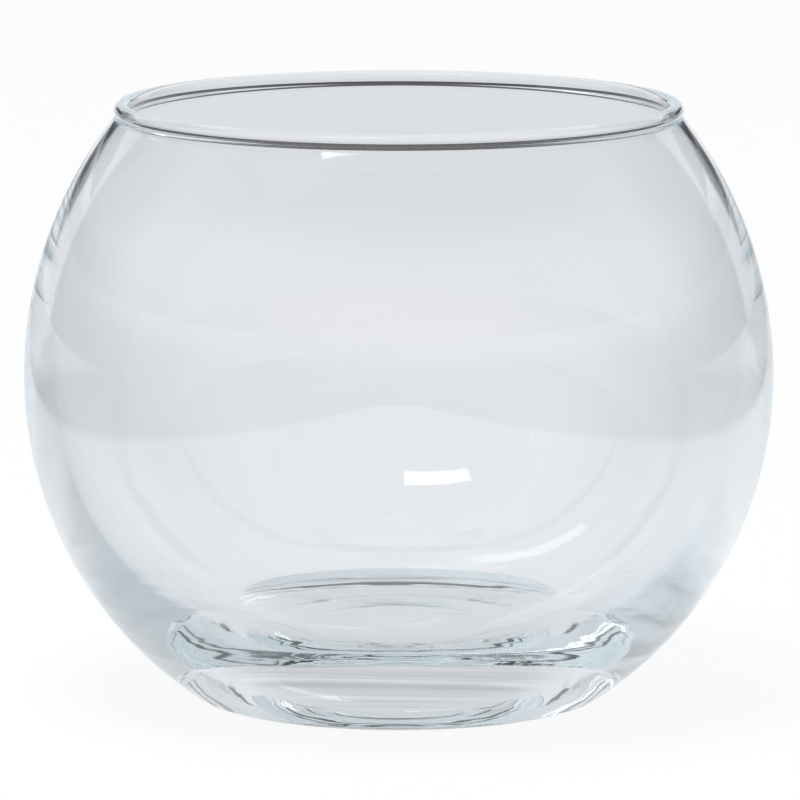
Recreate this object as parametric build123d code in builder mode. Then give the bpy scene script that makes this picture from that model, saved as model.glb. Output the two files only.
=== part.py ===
from build123d import *
from math import asin, cos, degrees, hypot, sqrt
import os

# Rose bowl vase: a clear glass globe, open at the top and flattened underneath.
# The real bowl is one piece of glass. It is drawn as the three zones that its making leaves in the
# glass: the pressed base, the blown wall and the fire-polished rim, which meet face to face.
# Sizes are in millimetres. +Z is up, and the origin is the centre of the ring that the bowl stands on.

# Driving dimensions
overall_height = 121.6  # resting ring to the top of the rim
belly_diameter = 152.0  # outside, at the widest level
belly_height = 65.8  # resting ring to the widest level
mouth_diameter = 108.6  # clear opening inside the rim
foot_diameter = 77.6  # outer edge of the flat ring underneath
heel_radius = 5.3  # rounding between the ring and the flank
resting_ring_width = 7.0  # flat ring between the heel and the push-up
push_up_depth = 1.6  # hollow of the underside, at its middle
floor_thickness = 9.0  # resting ring to the flat inner floor
floor_diameter = 30.0  # flat part of the inner floor
belly_wall = 4.4  # widest radius outside, less widest radius inside
cavity_lift = 10.2  # how much higher the inside is widest than the outside
neck_wall = 1.75  # glass just under the rim
bead_diameter = 3.2  # fire-polished bead around the mouth
notch_radius = 1.0  # soft corner between the bead and the wall outside
base_zone_height = 18.5  # resting ring to where the pressed base passes into the blown wall
rim_zone_depth = 5.0  # top of the rim to where the wall passes into the rim

# Radii and levels that follow from them
belly_radius = belly_diameter / 2
cavity_radius = belly_radius - belly_wall
cavity_level = belly_height + cavity_lift
foot_radius = foot_diameter / 2
bead_radius = bead_diameter / 2
bead_center = Vector(mouth_diameter / 2 + bead_radius, overall_height - bead_radius)
rim_level = overall_height - rim_zone_depth


def upright_arc_center(start_radius, through):
    """Centre of the arc that leaves (start_radius, belly_height) upright and passes through a point."""
    inset = start_radius - through.X
    rise = through.Y - belly_height
    return Vector(start_radius - (inset**2 + rise**2) / (2 * inset), belly_height)


def arc_radius_at(center, start_radius, level):
    """Distance from the bowl's axis to an upright arc, at a level above the resting ring."""
    arc_radius = start_radius - center.X
    return center.X + sqrt(arc_radius**2 - (level - center.Y) ** 2)


def toward(start, end, distance):
    """The point at a distance from start, on the line to end."""
    return start + (end - start).normalized() * distance


# Inside of the bowl: a flat floor, a quarter ellipse up to the widest level, and an arc into the bead
floor_radius = floor_diameter / 2
curve_center = Vector(floor_radius, cavity_level)
curve_width = cavity_radius - floor_radius
curve_height = cavity_level - floor_thickness
bead_inset = cavity_radius - bead_center.X
bead_rise = bead_center.Y - cavity_level
shoulder_arc_radius = (bead_inset**2 + bead_rise**2 - bead_radius**2) / (
    2 * (bead_inset + bead_radius)
)
shoulder_arc_center = Vector(cavity_radius - shoulder_arc_radius, cavity_level)
bead_inner_end = toward(shoulder_arc_center, bead_center, shoulder_arc_radius)

# Outside of the bowl: one arc from the neck down to the widest level, and one from there to the heel
neck_level = overall_height - bead_diameter
neck_inner = Vector(
    arc_radius_at(shoulder_arc_center, cavity_radius, neck_level), neck_level
)
neck_outer = toward(shoulder_arc_center, neck_inner, shoulder_arc_radius + neck_wall)
upper_arc_center = upright_arc_center(belly_radius, neck_outer)
upper_arc_radius = belly_radius - upper_arc_center.X
heel_center = Vector(foot_radius, heel_radius)
heel_inset = belly_radius - foot_radius
heel_drop = belly_height - heel_radius
lower_arc_radius = (heel_inset**2 + heel_drop**2 - heel_radius**2) / (
    2 * (heel_inset - heel_radius)
)
lower_arc_center = Vector(belly_radius - lower_arc_radius, belly_height)
heel_end = toward(lower_arc_center, heel_center, lower_arc_radius)

# Notch under the bead: a small arc that touches both the bead and the outer wall
notch_to_bead = bead_radius + notch_radius
notch_to_wall = upper_arc_radius + notch_radius
bead_to_wall = hypot(
    bead_center.X - upper_arc_center.X, bead_center.Y - upper_arc_center.Y
)
notch_along = (bead_to_wall**2 + notch_to_wall**2 - notch_to_bead**2) / (2 * bead_to_wall)
notch_aside = sqrt(notch_to_wall**2 - notch_along**2)
bead_direction = (bead_center - upper_arc_center).normalized()
notch_center = (
    upper_arc_center
    + bead_direction * notch_along
    + Vector(bead_direction.Y, -bead_direction.X) * notch_aside
)
notch_wall_end = toward(upper_arc_center, notch_center, upper_arc_radius)
notch_bead_end = toward(bead_center, notch_center, bead_radius)

# Edges that two zones share
base_outer = Vector(
    arc_radius_at(lower_arc_center, belly_radius, base_zone_height), base_zone_height
)
base_turn = asin((cavity_level - base_zone_height) / curve_height)
base_inner = Vector(floor_radius + curve_width * cos(base_turn), base_zone_height)
wall_sweep = degrees(base_turn)
floor_sweep = 90 - wall_sweep
rim_outer = Vector(arc_radius_at(upper_arc_center, belly_radius, rim_level), rim_level)
rim_inner = Vector(
    arc_radius_at(shoulder_arc_center, cavity_radius, rim_level), rim_level
)

# Thick pressed base, with the flat floor inside and the shallow push-up underneath
with BuildPart() as base:
    with BuildSketch(Plane.XZ):
        with BuildLine():
            push_up = TangentArc(
                (0, push_up_depth),
                (foot_radius - resting_ring_width, 0),
                tangent=(1, 0),
            )
            resting_ring = Line(push_up @ 1, (foot_radius, 0))
            heel = TangentArc(resting_ring @ 1, heel_end, tangent=(1, 0))
            flank = TangentArc(heel @ 1, base_outer, tangent=heel % 1)
            top = Line(flank @ 1, base_inner)
            floor_rise = EllipticalCenterArc(
                curve_center, curve_width, curve_height, start_angle=270, arc_size=floor_sweep
            )
            Polyline(floor_rise @ 0, (0, floor_thickness), push_up @ 0)
        make_face()
    revolve(axis=Axis.Z)
base.part.label = "base"

# Blown wall, thickest where it leaves the base and thinnest at the neck
with BuildPart() as bowl_wall:
    with BuildSketch(Plane.XZ):
        with BuildLine():
            lower_outside = TangentArc(
                (belly_radius, belly_height), base_outer, tangent=(0, -1)
            )
            upper_outside = TangentArc(
                (belly_radius, belly_height), rim_outer, tangent=(0, 1)
            )
            Line(upper_outside @ 1, rim_inner)
            upper_inside = TangentArc(
                (cavity_radius, cavity_level), rim_inner, tangent=(0, 1)
            )
            lower_inside = EllipticalCenterArc(
                curve_center, curve_width, curve_height, start_angle=-wall_sweep, arc_size=wall_sweep
            )
            Line(lower_inside @ 0, lower_outside @ 1)
        make_face()
    revolve(axis=Axis.Z)
bowl_wall.part.label = "bowl_wall"

# Fire-polished rim: a round bead, flush with the wall inside and proud of it outside
with BuildPart() as rim:
    with BuildSketch(Plane.XZ):
        with BuildLine():
            neck_tangent = Vector(
                upper_arc_center.Y - rim_outer.Y, rim_outer.X - upper_arc_center.X
            )
            neck_outside = TangentArc(rim_outer, notch_wall_end, tangent=neck_tangent)
            notch = TangentArc(
                neck_outside @ 1, notch_bead_end, tangent=neck_outside % 1
            )
            bead = TangentArc(notch @ 1, bead_inner_end, tangent=notch % 1)
            neck_inside = TangentArc(bead @ 1, rim_inner, tangent=bead % 1)
            Line(neck_inside @ 1, neck_outside @ 0)
        make_face()
    revolve(axis=Axis.Z)
rim.part.label = "rim"

os.makedirs("parts", exist_ok=True)
for zone in (base, bowl_wall, rim):
    export_step(zone.part, f"parts/{zone.part.label}.step")
    print(zone.part.label, round(zone.part.volume), "mm3", zone.part.bounding_box().size)

print("outer arcs", round(lower_arc_radius, 2), round(upper_arc_radius, 2))
print("inner curve", round(curve_width, 2), round(curve_height, 2), round(shoulder_arc_radius, 2))
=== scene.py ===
import math

import bpy
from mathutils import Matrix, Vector


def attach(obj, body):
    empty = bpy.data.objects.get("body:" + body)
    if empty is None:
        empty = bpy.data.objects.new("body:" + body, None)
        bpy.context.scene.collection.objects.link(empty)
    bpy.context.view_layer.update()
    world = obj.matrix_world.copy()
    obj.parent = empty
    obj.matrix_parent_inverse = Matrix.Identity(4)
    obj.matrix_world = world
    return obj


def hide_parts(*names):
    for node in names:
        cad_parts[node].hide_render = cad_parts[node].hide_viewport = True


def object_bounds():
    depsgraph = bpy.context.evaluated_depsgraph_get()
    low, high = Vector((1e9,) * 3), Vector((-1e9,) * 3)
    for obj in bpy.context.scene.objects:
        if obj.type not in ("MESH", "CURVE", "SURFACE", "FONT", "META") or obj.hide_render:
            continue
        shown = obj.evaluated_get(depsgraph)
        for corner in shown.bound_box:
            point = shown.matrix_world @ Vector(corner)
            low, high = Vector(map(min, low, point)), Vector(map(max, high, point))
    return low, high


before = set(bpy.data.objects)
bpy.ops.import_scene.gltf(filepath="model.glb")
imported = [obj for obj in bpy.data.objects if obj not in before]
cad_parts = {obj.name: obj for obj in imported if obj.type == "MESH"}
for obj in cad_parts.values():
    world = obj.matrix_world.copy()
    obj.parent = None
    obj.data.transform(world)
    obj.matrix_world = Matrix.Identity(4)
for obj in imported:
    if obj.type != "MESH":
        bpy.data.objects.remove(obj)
cadLow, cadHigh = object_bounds()
print("frame loaded:", sorted(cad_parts))

# The bowl, in metres. Height and belly come from the frame, the rest are the sizes of its solids.
bowl = {
    "height": cadHigh.z,
    "bellyRadius": cadHigh.x,
    "bellyHeight": 0.0658,
    "mouthRadius": 0.0543,
    "footRadius": 0.0388,
    "heelRadius": 0.0053,
    "ringWidth": 0.007,  # flat ring that the bowl stands on
    "pushUp": 0.0016,  # hollow of the underside
    "floorThickness": 0.009,
    "floorRadius": 0.015,  # flat part of the inner floor
    "bellyWall": 0.0044,
    "cavityLift": 0.0102,  # the inside is widest a little higher than the outside
    "neckWall": 0.00175,
    "beadRadius": 0.0016,
    "notchRadius": 0.001,
    "turnSteps": 300,  # faces around the bowl
    "weldWithin": 1e-6,  # closes the seam and the middle of the turned grid
    "wave": 0.00006,  # ripple of the blown inside
    "waveScale": 26.0,
    "waveSeed": 4,
}

# The inner curve, a quarter ellipse from the flat floor up to the widest level of the inside
cavityRadius = bowl["bellyRadius"] - bowl["bellyWall"]
cavityLevel = bowl["bellyHeight"] + bowl["cavityLift"]
curveWidth = cavityRadius - bowl["floorRadius"]
curveHeight = cavityLevel - bowl["floorThickness"]

# Faces along each stretch of the profile. The wall has finer ones for the last few degrees under the notch.
profileSteps = {
    "pushUp": 24,
    "ring": 5,
    "heel": 14,
    "lowerWall": 60,
    "upperWall": 28,
    "underNotch": 10,
    "notch": 8,
    "bead": 28,
    "shoulder": 32,
    "curve": 90,
    "floor": 7,
}
underNotchTurn = 4.0


# Adds nodes to the tree of a shape or of a material, and joins them
class Wiring:
    def __init__(self, tree):
        self.nodes, self.links = tree.nodes, tree.links

    def feed(self, socket, value):
        if isinstance(value, bpy.types.NodeSocket):
            self.links.new(value, socket)
        elif value is not None:
            socket.default_value = value

    def add(self, kind, *values, **settings):
        made = self.nodes.new(kind)
        for key, value in settings.items():
            setattr(made, key, value)
        for socket, value in zip(made.inputs, values):
            self.feed(socket, value)
        return made

    def make(self, kind, sockets, **settings):
        made = self.add(kind, **settings)
        for name, value in sockets.items():
            self.feed(made.inputs[name], value)
        return made.outputs[0]

    def math(self, operation, a, b=None):
        return self.add("ShaderNodeMath", a, b, operation=operation).outputs[0]

    def smooth(self, value, low, high):
        made = self.add("ShaderNodeMapRange", value, low, high, interpolation_type="SMOOTHSTEP")
        return made.outputs[0]

    def reach(self, a, b):
        return self.math("SQRT", self.math("ADD", self.math("POWER", a, 2), self.math("POWER", b, 2)))

    def ramp(self, value, stops):
        made = self.add("ShaderNodeValToRGB", value)
        steps = made.color_ramp.elements
        while len(steps) < len(stops):
            steps.new(1)
        for step, (place, level) in zip(steps, stops):
            step.position = place
            step.color = (level, level, level, 1)
        return made.outputs[0]

    # a factor around one that follows a noise, as strongly as the share says
    def ripple(self, noise, depth, share):
        stray = self.math("MULTIPLY", self.math("SUBTRACT", noise, 0.5), depth)
        return self.math("ADD", self.math("MULTIPLY", stray, share), 1)

    def scale(self, vector, level):
        return self.make("ShaderNodeVectorMath", {"Vector": vector, "Scale": level}, operation="SCALE")

    def mix(self, share, a, b):
        made = self.add("ShaderNodeMix", data_type="FLOAT")
        for index, value in ((0, share), (2, a), (3, b)):
            self.feed(made.inputs[index], value)
        return made.outputs[0]

    def blend(self, share, a, b):
        made = self.add("ShaderNodeMix", data_type="RGBA")
        for index, value in ((0, share), (6, a), (7, b)):
            self.feed(made.inputs[index], value)
        return made.outputs[2]


def arcPoints(center, radius, fromAngle, toAngle, steps):
    points = []
    for step in range(steps + 1):
        angle = math.radians(fromAngle + (toAngle - fromAngle) * step / steps)
        points.append((center[0] + radius * math.cos(angle), center[1] + radius * math.sin(angle)))
    return points


def angleOf(center, point):
    return math.degrees(math.atan2(point[1] - center[1], point[0] - center[0]))


def toward(start, end, distance):
    step = Vector(end) - Vector(start)
    return Vector(start) + step.normalized() * distance


def bowlProfile(size, steps):
    belly = size["bellyHeight"]
    bead = Vector((size["mouthRadius"] + size["beadRadius"], size["height"] - size["beadRadius"]))

    # inside, above the inner curve: an arc into the bead
    inset = cavityRadius - bead.x
    rise = bead.y - cavityLevel
    shoulderRadius = (inset**2 + rise**2 - size["beadRadius"] ** 2) / (2 * (inset + size["beadRadius"]))
    shoulderCenter = Vector((cavityRadius - shoulderRadius, cavityLevel))

    # outside: the upper arc stands a neck wall away from the shoulder arc, the lower one meets the heel
    neckLevel = size["height"] - 2 * size["beadRadius"]
    neckInner = Vector((
        shoulderCenter.x + math.sqrt(shoulderRadius**2 - (neckLevel - cavityLevel) ** 2),
        neckLevel,
    ))
    neckOuter = toward(shoulderCenter, neckInner, shoulderRadius + size["neckWall"])
    inset = size["bellyRadius"] - neckOuter.x
    rise = neckOuter.y - belly
    upperRadius = (inset**2 + rise**2) / (2 * inset)
    upperCenter = Vector((size["bellyRadius"] - upperRadius, belly))
    heel = Vector((size["footRadius"], size["heelRadius"]))
    inset = size["bellyRadius"] - heel.x
    drop = belly - heel.y
    lowerRadius = (inset**2 + drop**2 - heel.y**2) / (2 * (inset - heel.y))
    lowerCenter = Vector((size["bellyRadius"] - lowerRadius, belly))

    # notch: a small arc that touches the bead and the upper arc
    toBead = size["beadRadius"] + size["notchRadius"]
    toWall = upperRadius + size["notchRadius"]
    apart = (bead - upperCenter).length
    along = (apart**2 + toWall**2 - toBead**2) / (2 * apart)
    aside = math.sqrt(toWall**2 - along**2)
    ahead = (bead - upperCenter).normalized()
    notch = upperCenter + ahead * along + Vector((ahead.y, -ahead.x)) * aside

    # points of the outside: the push-up runs softly into the ring that the bowl stands on
    hollow = size["footRadius"] - size["ringWidth"]
    outside = []
    for step in range(steps["pushUp"] + 1):
        share = step / steps["pushUp"]
        outside.append((hollow * share, size["pushUp"] * (0.5 + 0.5 * math.cos(math.pi * share))))
    for step in range(1, steps["ring"]):
        outside.append((hollow + size["ringWidth"] * step / steps["ring"], 0))
    heelTurn = angleOf(lowerCenter, heel)
    notchTurn = angleOf(upperCenter, notch)
    fineTurn = notchTurn - underNotchTurn
    notchEnd = angleOf(notch, bead)
    beadTurn = angleOf(bead, notch)
    lipTurn = angleOf(bead, shoulderCenter)
    outside += arcPoints(heel, size["heelRadius"], -90, heelTurn, steps["heel"])
    outside += arcPoints(lowerCenter, lowerRadius, heelTurn, 0, steps["lowerWall"])[1:]
    outside += arcPoints(upperCenter, upperRadius, 0, fineTurn, steps["upperWall"])[1:]
    outside += arcPoints(upperCenter, upperRadius, fineTurn, notchTurn, steps["underNotch"])[1:]
    outside += arcPoints(notch, size["notchRadius"], notchTurn + 180, notchEnd, steps["notch"])[1:]
    outside += arcPoints(bead, size["beadRadius"], beadTurn, lipTurn + 360, steps["bead"])[1:]

    # points of the inside, down to the middle of the flat floor
    shoulderTurn = angleOf(shoulderCenter, bead)
    inside = arcPoints(shoulderCenter, shoulderRadius, shoulderTurn, 0, steps["shoulder"])[1:]
    for step in range(1, steps["curve"] + 1):
        turn = math.pi / 2 * step / steps["curve"]
        inside.append((
            size["floorRadius"] + curveWidth * math.cos(turn),
            cavityLevel - curveHeight * math.sin(turn),
        ))
    for step in range(1, steps["floor"] + 1):
        inside.append((size["floorRadius"] * (1 - step / steps["floor"]), size["floorThickness"]))
    return outside, inside


def turnedBowl(size, glass):
    outside, inside = bowlProfile(size, profileSteps)
    profile = bpy.data.curves.new("profile", "CURVE")
    profile.dimensions = "3D"
    line = profile.splines.new("POLY")
    line.points.add(len(outside) + len(inside) - 1)
    for point, (radius, height) in zip(line.points, outside + inside):
        point.co = (radius, 0, height, 1)
    piece = bpy.data.objects.new("profile", profile)
    bpy.context.scene.collection.objects.link(piece)

    tree = bpy.data.node_groups.new("turnProfile", "GeometryNodeTree")
    tree.interface.new_socket("Geometry", in_out="OUTPUT", socket_type="NodeSocketGeometry")
    tree.interface.new_socket("Geometry", in_out="INPUT", socket_type="NodeSocketGeometry")
    inputs = {
        "Turn Steps": ("NodeSocketInt", size["turnSteps"]),
        "Profile Points": ("NodeSocketInt", len(outside) + len(inside)),
        "Outside Points": ("NodeSocketInt", len(outside)),
        "Weld Within": ("NodeSocketFloat", size["weldWithin"]),
        "Wave": ("NodeSocketFloat", size["wave"]),
        "Wave Scale": ("NodeSocketFloat", size["waveScale"]),
        "Wave Seed": ("NodeSocketInt", size["waveSeed"]),
        "Glass": ("NodeSocketMaterial", glass),
    }
    identifiers = {}
    for name, (kind, value) in inputs.items():
        identifiers[name] = tree.interface.new_socket(name, in_out="INPUT", socket_type=kind).identifier

    # a grid with a row for each point of the profile, one metre wide around its middle
    wiring = Wiring(tree)
    given = wiring.add("NodeGroupInput").outputs
    place = wiring.add("GeometryNodeInputPosition").outputs[0]
    columns = wiring.math("ADD", given["Turn Steps"], 1)
    grid = wiring.make("GeometryNodeMeshGrid", {"Vertices X": columns, "Vertices Y": given["Profile Points"]})
    gridX, gridY = wiring.add("ShaderNodeSeparateXYZ", place).outputs[:2]
    turn = wiring.math("MULTIPLY", wiring.math("ADD", gridX, 0.5), 2 * math.pi)
    lastRow = wiring.math("SUBTRACT", given["Profile Points"], 1)
    row = wiring.math("ROUND", wiring.math("MULTIPLY", wiring.math("ADD", gridY, 0.5), lastRow))

    # each row takes the radius and height of its point and is turned around the axis
    point = wiring.make(
        "GeometryNodeSampleIndex",
        {"Geometry": given["Geometry"], "Value": place, "Index": row},
        data_type="FLOAT_VECTOR",
        domain="POINT",
    )
    spot = wiring.add("ShaderNodeSeparateXYZ", point).outputs
    east = wiring.math("MULTIPLY", spot["X"], wiring.math("COSINE", turn))
    north = wiring.math("MULTIPLY", spot["X"], wiring.math("SINE", turn))
    turned = wiring.make("ShaderNodeCombineXYZ", {"X": east, "Y": north, "Z": spot["Z"]})
    within = wiring.math("GREATER_THAN", row, given["Outside Points"])
    marked = wiring.make(
        "GeometryNodeStoreNamedAttribute",
        {"Geometry": grid, "Name": "inside", "Value": within},
        data_type="FLOAT",
        domain="POINT",
    )
    shape = wiring.make("GeometryNodeSetPosition", {"Geometry": marked, "Position": turned})
    welded = wiring.make("GeometryNodeMergeByDistance", {"Geometry": shape, "Distance": given["Weld Within"]})

    # the inside ripples a little
    noise = wiring.make(
        "ShaderNodeTexNoise",
        {"Vector": place, "W": given["Wave Seed"], "Scale": given["Wave Scale"], "Detail": 1},
        noise_dimensions="4D",
    )
    mask = wiring.make("GeometryNodeInputNamedAttribute", {"Name": "inside"}, data_type="FLOAT")
    lift = wiring.math("MULTIPLY", wiring.math("SUBTRACT", noise, 0.5), given["Wave"])
    push = wiring.scale(wiring.add("GeometryNodeInputNormal").outputs[0], wiring.math("MULTIPLY", lift, mask))
    wavy = wiring.make("GeometryNodeSetPosition", {"Geometry": welded, "Offset": push})
    smooth = wiring.make("GeometryNodeSetShadeSmooth", {"Geometry": wavy})
    real = wiring.make("GeometryNodeRealizeInstances", {"Geometry": smooth})
    painted = wiring.make("GeometryNodeSetMaterial", {"Geometry": real, "Material": given["Glass"]})
    wiring.add("NodeGroupOutput", painted)

    lathe = piece.modifiers.new("lathe", "NODES")
    lathe.node_group = tree
    for name, (kind, value) in inputs.items():
        lathe[identifiers[name]] = value
    bpy.context.view_layer.update()
    evaluated = piece.evaluated_get(bpy.context.evaluated_depsgraph_get())
    turnedMesh = bpy.data.meshes.new_from_object(evaluated)
    bpy.data.objects.remove(piece)
    made = bpy.data.objects.new("glassBowl", turnedMesh)
    bpy.context.scene.collection.objects.link(made)
    return made


glassLook = {
    "ior": 1.52,
    "tint": (0.5, 0.73, 0.8, 1),
    "density": 2.2,
    "haze": 0.05,  # roughness of the faint smudges inside the bowl
    "smudgeScale": 34.0,
    "smudgeRange": (0.45, 0.7),
    "filmEdge": (1.06, 1.03),  # the film ends just outside the inner curve, where its ellipse measures one
    "ringDepth": 0.00006,  # turning marks of the pressed base
    "ringScale": 200.0,
    "ringDrift": 0.03,  # how slowly the marks change around the bowl
    "ringRise": 1.5,
    "ringTop": (0.03, 0.015),
}


def clearGlass(look):
    material = bpy.data.materials.new("clearGlass")
    material.use_nodes = True
    wiring = Wiring(material.node_tree)
    shader = wiring.nodes["Principled BSDF"]
    shader.inputs["Base Color"].default_value = (1, 1, 1, 1)
    shader.inputs["IOR"].default_value = look["ior"]
    shader.inputs["Transmission Weight"].default_value = 1

    # a smudged film, on the inside only
    coords = wiring.add("ShaderNodeTexCoord").outputs["Object"]
    east, north, rise = wiring.add("ShaderNodeSeparateXYZ", coords).outputs
    reach = wiring.reach(east, north)
    across = wiring.math("DIVIDE", wiring.math("SUBTRACT", reach, bowl["floorRadius"]), curveWidth)
    below = wiring.math("DIVIDE", wiring.math("SUBTRACT", cavityLevel, rise), curveHeight)
    ellipse = wiring.math("ADD", wiring.math("POWER", across, 2), wiring.math("POWER", below, 2))
    inside = wiring.smooth(ellipse, *look["filmEdge"])
    smudges = wiring.make("ShaderNodeTexNoise", {"Vector": coords, "Scale": look["smudgeScale"]})
    film = wiring.math("MULTIPLY", inside, wiring.smooth(smudges, *look["smudgeRange"]))
    wiring.feed(shader.inputs["Roughness"], wiring.math("MULTIPLY", film, look["haze"]))

    # turning marks: soft rings that fade out above the base
    ringSpot = wiring.make("ShaderNodeCombineXYZ", {
        "X": wiring.math("ADD", reach, wiring.math("MULTIPLY", east, look["ringDrift"])),
        "Y": wiring.math("MULTIPLY", north, look["ringDrift"]),
        "Z": wiring.math("MULTIPLY", rise, look["ringRise"]),
    })
    rings = wiring.make("ShaderNodeTexNoise", {"Vector": ringSpot, "Scale": look["ringScale"], "Detail": 1})
    marks = wiring.math("MULTIPLY", rings, wiring.smooth(rise, *look["ringTop"]))
    bump = wiring.make("ShaderNodeBump", {"Distance": look["ringDepth"], "Height": marks})
    wiring.feed(shader.inputs["Normal"], bump)

    depth = wiring.add("ShaderNodeVolumeAbsorption")
    depth.inputs["Color"].default_value = look["tint"]
    depth.inputs["Density"].default_value = look["density"]
    wiring.feed(wiring.nodes["Material Output"].inputs["Volume"], depth.outputs[0])
    return material


glass = clearGlass(glassLook)
glassBowl = turnedBowl(bowl, glass)
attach(glassBowl, "root")
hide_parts("base", "bowl_wall", "rim")
print("bowl turned:", len(glassBowl.data.vertices), "points")

# The room, as seen through the glass and as mirrored by it. Each zone starts at an angle from straight
# behind the bowl and has a soft edge, then pairs of an elevation and a level, all angles in degrees.
paleSide = (29, 2, ((-3, 0.45), (4, 0.45), (6, 0.8), (17, 0.8), (22, 0.62), (60, 0.62), (90, 0.7)))
room = {
    "through": (
        (0, 0, ((-3, 0.7), (50, 0.75), (60, 0.95), (72, 0.95), (76, 0.6), (90, 0.6))),
        (13, 2, ((-3, 0.12), (5, 0.12), (7, 0.65), (50, 0.65), (72, 0.9), (76, 0.6), (90, 0.6))),
        paleSide,
    ),
    "throughRight": (
        (14, 2, ((-3, 0.12), (7, 0.12), (9, 0.65), (50, 0.65), (72, 0.9), (76, 0.6), (90, 0.6))),
        paleSide,
        (46, 4, ((-3, 0.5), (8, 0.53), (14, 0.6), (30, 0.65), (90, 0.7))),
        (115, 10, ((-3, 0.52), (10, 0.58), (30, 0.65), (90, 0.75))),
        (145, 10, ((-3, 0.9), (10, 0.73), (90, 0.75))),
    ),
    "throughLeft": (
        (46, 4, ((-3, 0.35), (6, 0.42), (12, 0.75), (20, 0.82), (60, 0.88), (90, 0.7))),
        (110, 10, ((-3, 0.5), (8, 0.84), (25, 0.93), (60, 0.9), (90, 0.75))),
        (140, 8, ((-3, 0.95), (25, 0.9), (60, 0.9), (90, 0.75))),
    ),
    "mirrored": (
        (0, 0, ((-3, 0.95), (90, 1))),
        (13, 2, ((1, 0.95), (2, 0.1), (8, 0.1), (10, 0.95), (90, 1))),
        (29, 2, ((-3, 0.95), (90, 1))),
        (42, 2, ((-3, 0.1), (12, 0.1), (30, 0.2), (90, 0.6))),
        (75, 10, ((-3, 0.1), (6, 0.1), (12, 0.9), (35, 0.9), (48, 0.4), (90, 0.6))),
    ),
    "sides": (-0.05, 0.05),  # where left passes into right
    "tint": (0.97, 1, 1.04, 1),
    "frontTint": (1.13, 1, 0.98, 1),
    "frontTurn": (105, 150),
    "frontRise": (0.5, 0.3),
    # A ceiling one metre up. The box light is mirrored at the front, the strip light lies behind to the left,
    # and rows of darker and lighter slats lie straight overhead.
    "leastRise": 0.01,
    "box": {
        "left": -0.385,
        "right": -0.03,
        "front": -0.366,
        "back": -0.25,
        "slope": -0.106,
        "soft": 0.01,
        "level": 6.0,
    },
    "strip": {
        "left": -1.1,
        "right": -0.25,
        "front": 0.82,
        "back": 1.1,
        "slope": -0.36,
        "soft": 0.08,
        "level": 2.2,
    },
    "slats": {"scale": 14.0, "depth": 3.0, "reach": (0.5, 0.4)},
}

# The table. Its levels are pairs of a distance in metres and a level, and each range is a soft edge. Seen
# through the glass, the table holds a painted shadow under the bowl and a painted pool of light, brightest in
# front, that fades towards the back and sides.
table = {
    "half": 2.6,
    "drop": 0.0002,  # the table lies just under the bowl, so the two faces don't coincide
    "nearest": 0.001,
    "span": 0.6,
    # painted shadow under the bowl, then painted light that fades further off; in front it brightens to 1
    "behind": ((0.02, 0.76), (0.045, 0.85), (0.07, 0.82), (0.18, 0.8), (0.4, 0.78), (0.6, 0.735)),
    "beside": ((0.02, 0.76), (0.045, 0.84), (0.11, 0.78), (0.16, 0.73), (0.25, 0.68), (0.6, 0.67)),
    "besideTurn": (0.2, 0.5),
    "before": ((0.04, 0.64), (0.06, 0.8), (0.08, 0.8), (0.16, 1)),
    "beforeEdge": (-0.01, -0.03),
    "tint": (0.975, 1, 1.035),
    # rings of light under the front of the base
    "caustics": {
        "scale": 330.0,
        "depth": 1.2,
        "drift": 0.05,
        "reach": (0.05, 0.04),
        "edge": (-0.012, -0.025),
    },
    # the table as the glass mirrors it, near the bowl, further off and beyond its side edges
    "mirrorNear": 0.35,
    "mirrorNearSide": 0.85,
    "nearSideTurn": (0.4, 0.75),
    "nearReach": (0.08, 0.12),
    "mirrorBehind": 0.9,
    "mirrorBefore": 1.25,
    "mirrorBeforeEdge": (0.15, -0.05),
    "sideEdge": (0.27, 0.33),
    "beyondBehind": 0.65,
    "beyondBeside": 0.1,
    "beyondBesideEdge": (0.6, 0.3),
    "shadowShare": 0.08,
}

# Dark cards that only the glass sees: one leans back behind the rim, one stands over the mouth, for the rim
# in front. Each edge is a distance behind the middle and a height.
cards = (
    {"lowEdge": (0.0885, 0.127), "highEdge": (0.135, 0.17), "half": 0.16, "level": 0.06},
    {"lowEdge": (0, 0.133), "highEdge": (0, 0.158), "half": 0.06, "level": 0.06},
)

softbox = {
    "place": (-0.2, -0.2, 1.12),
    "size": (0.35, 0.5),
    "power": 9.0,
}

paperWhite = (1, 1, 1, 1)  # what the camera sees around the bowl


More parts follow.
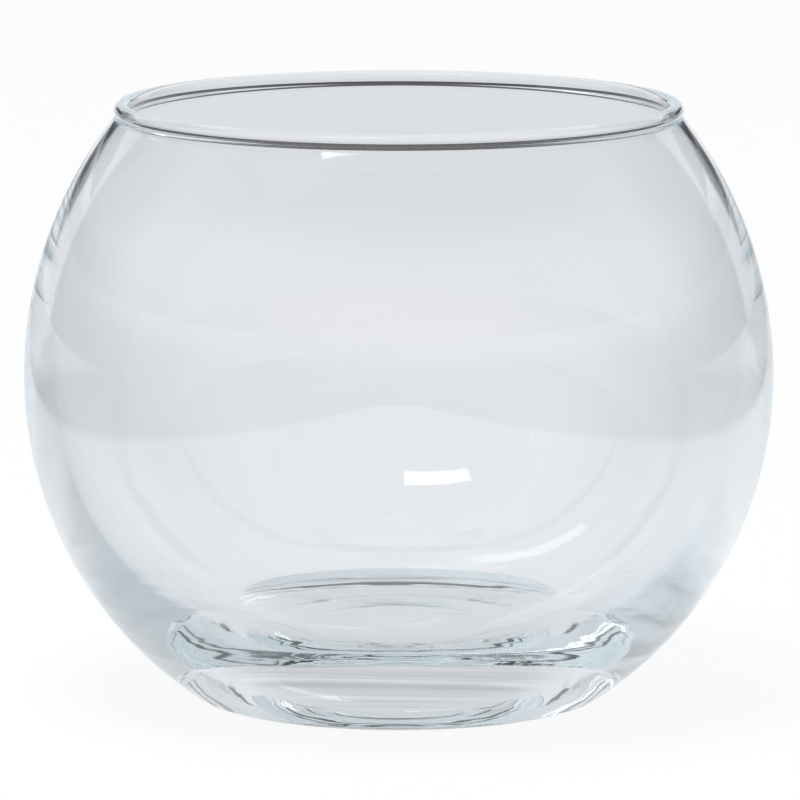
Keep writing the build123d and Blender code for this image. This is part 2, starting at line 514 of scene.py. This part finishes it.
def makeWorld():
    world = bpy.data.worlds.new("studio")
    bpy.context.scene.world = world
    world.use_nodes = True
    wiring = Wiring(world.node_tree)
    coords = wiring.add("ShaderNodeTexCoord").outputs["Generated"]
    aside, ahead, rise = wiring.add("ShaderNodeSeparateXYZ", coords).outputs
    turn = wiring.math("ARCCOSINE", wiring.math("DIVIDE", ahead, wiring.reach(aside, ahead)))
    turn = wiring.math("DEGREES", turn)
    height = wiring.math("ADD", wiring.math("MULTIPLY", rise, 0.5), 0.5)

    def sky(zones, level=None):
        for start, soft, stops in zones:
            heights = [(0.5 + 0.5 * math.sin(math.radians(angle)), lit) for angle, lit in stops]
            zone = wiring.ramp(height, heights)
            inZone = wiring.smooth(turn, start - soft, start + soft)
            level = wiring.blend(inZone, level, zone) if level else zone
        return level

    behind = sky(room["through"])
    left = sky(room["throughLeft"], behind)
    right = sky(room["throughRight"], behind)
    through = wiring.blend(wiring.smooth(aside, *room["sides"]), left, right)

    over = wiring.math("MAXIMUM", rise, room["leastRise"])
    acrossRoom = wiring.math("DIVIDE", aside, over)
    alongRoom = wiring.math("DIVIDE", ahead, over)

    def ceilingLight(light):
        soft = light["soft"]
        along = wiring.math("SUBTRACT", alongRoom, wiring.math("MULTIPLY", acrossRoom, light["slope"]))
        share = wiring.smooth(acrossRoom, light["left"] - soft, light["left"] + soft)
        for spot, low, high in (
            (acrossRoom, light["right"] + soft, light["right"] - soft),
            (along, light["front"] - soft, light["front"] + soft),
            (along, light["back"] + soft, light["back"] - soft),
        ):
            share = wiring.math("MULTIPLY", share, wiring.smooth(spot, low, high))
        return wiring.math("MULTIPLY", share, light["level"])

    slats = room["slats"]
    slatSpot = wiring.make("ShaderNodeCombineXYZ", {"X": alongRoom})
    rows = wiring.make("ShaderNodeTexNoise", {"Vector": slatSpot, "Scale": slats["scale"]})
    overhead = wiring.smooth(wiring.reach(acrossRoom, alongRoom), *slats["reach"])
    through = wiring.math("MULTIPLY", through, wiring.ripple(rows, slats["depth"], overhead))
    through = wiring.math("ADD", through, ceilingLight(room["strip"]))
    mirrored = wiring.math("ADD", sky(room["mirrored"]), ceilingLight(room["box"]))

    path = wiring.add("ShaderNodeLightPath").outputs
    grey = wiring.blend(path["Is Transmission Ray"], mirrored, through)
    low = wiring.smooth(rise, *room["frontRise"])
    warm = wiring.math("MULTIPLY", wiring.smooth(turn, *room["frontTurn"]), low)
    warm = wiring.math("MULTIPLY", warm, path["Is Transmission Ray"])
    tint = wiring.blend(warm, room["tint"], room["frontTint"])
    seen = wiring.blend(path["Is Camera Ray"], wiring.scale(tint, grey), paperWhite)
    wiring.feed(wiring.nodes["Background"].inputs["Color"], seen)


def flatPiece(name, corners, finish):
    mesh = bpy.data.meshes.new(name)
    mesh.from_pydata(corners, [], [(0, 1, 2, 3)])
    piece = bpy.data.objects.new(name, mesh)
    bpy.context.scene.collection.objects.link(piece)
    material = bpy.data.materials.new(finish)
    material.use_nodes = True
    mesh.materials.append(material)
    wiring = Wiring(material.node_tree)
    wiring.nodes.remove(wiring.nodes["Principled BSDF"])
    return piece, wiring


def makeFloor():
    half = table["half"]
    corners = [(-half, -half, 0), (half, -half, 0), (half, half, 0), (-half, half, 0)]
    floor, wiring = flatPiece("floor", corners, "paleFloor")
    floor.location.z = -table["drop"]
    coords = wiring.add("ShaderNodeTexCoord").outputs["Object"]
    aside, ahead = wiring.add("ShaderNodeSeparateXYZ", coords).outputs[:2]
    away = wiring.reach(aside, ahead)
    wide = wiring.math("ABSOLUTE", aside)
    turned = wiring.math("DIVIDE", wide, wiring.math("MAXIMUM", away, table["nearest"]))

    def levels(name):
        stops = [(spot / table["span"], lit) for spot, lit in table[name]]
        return wiring.ramp(wiring.math("DIVIDE", away, table["span"]), stops)

    # the table seen through the glass, with its painted shadow under the bowl and its painted light fading
    # with distance
    through = wiring.blend(wiring.smooth(turned, *table["besideTurn"]), levels("behind"), levels("beside"))
    through = wiring.blend(wiring.smooth(ahead, *table["beforeEdge"]), through, levels("before"))

    caustics = table["caustics"]
    drift = wiring.math("MULTIPLY", aside, caustics["drift"])
    ringSpot = wiring.make("ShaderNodeCombineXYZ", {"X": wiring.math("ADD", away, drift)})
    rings = wiring.make("ShaderNodeTexNoise", {"Vector": ringSpot, "Scale": caustics["scale"]})
    under = wiring.smooth(away, *caustics["reach"])
    under = wiring.math("MULTIPLY", under, wiring.smooth(ahead, *caustics["edge"]))
    through = wiring.scale(through, wiring.ripple(rings, caustics["depth"], under))

    def mirror(spot, edge, near, far):
        return wiring.mix(wiring.smooth(spot, *edge), near, far)

    further = mirror(ahead, table["mirrorBeforeEdge"], table["mirrorBehind"], table["mirrorBefore"])
    beyond = mirror(ahead, table["beyondBesideEdge"], table["beyondBehind"], table["beyondBeside"])
    near = mirror(turned, table["nearSideTurn"], table["mirrorNear"], table["mirrorNearSide"])
    mirrored = mirror(wide, table["sideEdge"], further, beyond)
    mirrored = mirror(away, table["nearReach"], near, mirrored)

    path = wiring.add("ShaderNodeLightPath").outputs
    seen = wiring.scale(table["tint"], wiring.blend(path["Is Transmission Ray"], mirrored, through))
    glow = wiring.add("ShaderNodeEmission", wiring.blend(path["Is Camera Ray"], seen, paperWhite))
    matt = wiring.add("ShaderNodeBsdfDiffuse")
    clear = wiring.math("MULTIPLY", path["Is Camera Ray"], 1 - table["shadowShare"])
    clear = wiring.math("MAXIMUM", clear, path["Is Glossy Ray"])
    clear = wiring.math("MAXIMUM", clear, path["Is Transmission Ray"])
    surface = wiring.add("ShaderNodeMixShader", clear, matt.outputs[0], glow.outputs[0])
    wiring.feed(wiring.nodes["Material Output"].inputs["Surface"], surface.outputs[0])


def makeCard(card):
    half, low, high = card["half"], card["lowEdge"], card["highEdge"]
    corners = [(-half, *low), (half, *low), (half, *high), (-half, *high)]
    dark, wiring = flatPiece("card", corners, "darkCard")
    level = card["level"]
    glow = wiring.add("ShaderNodeEmission", (level, level, level, 1))
    wiring.feed(wiring.nodes["Material Output"].inputs["Surface"], glow.outputs[0])
    dark.visible_camera = False
    dark.visible_glossy = False
    dark.visible_diffuse = False
    dark.visible_shadow = False


def makeLamp():
    lamp = bpy.data.lights.new("softbox", "AREA")
    lamp.shape = "RECTANGLE"
    lamp.size, lamp.size_y = softbox["size"]
    lamp.energy = softbox["power"]
    lit = bpy.data.objects.new("softbox", lamp)
    lit.location = softbox["place"]
    lit.visible_glossy = False
    lit.visible_transmission = False
    bpy.context.scene.collection.objects.link(lit)


makeWorld()
makeFloor()
for card in cards:
    makeCard(card)
makeLamp()
print("studio set")

shot = {
    "aim": (0.00025, 0, 0.0605),
    "distance": 1.6,
    "elevation": 8.82,
    "lens": 354.5,
    "farthest": 100,
    "bounces": 400,  # light runs a long way inside the wall
}


def makeCamera():
    lens = bpy.data.cameras.new("camera")
    lens.lens = shot["lens"]
    lens.clip_end = shot["farthest"]
    camera = bpy.data.objects.new("camera", lens)
    tilt = math.radians(shot["elevation"])
    back = Vector((0, -math.cos(tilt), math.sin(tilt))) * shot["distance"]
    camera.location = Vector(shot["aim"]) + back
    camera.rotation_euler = (-back).to_track_quat("-Z", "Y").to_euler()
    bpy.context.scene.collection.objects.link(camera)
    bpy.context.scene.camera = camera


makeCamera()
scene = bpy.context.scene
scene.view_settings.view_transform = "Standard"
scene.cycles.max_bounces = shot["bounces"]
scene.cycles.transmission_bounces = shot["bounces"]
scene.cycles.glossy_bounces = shot["bounces"]
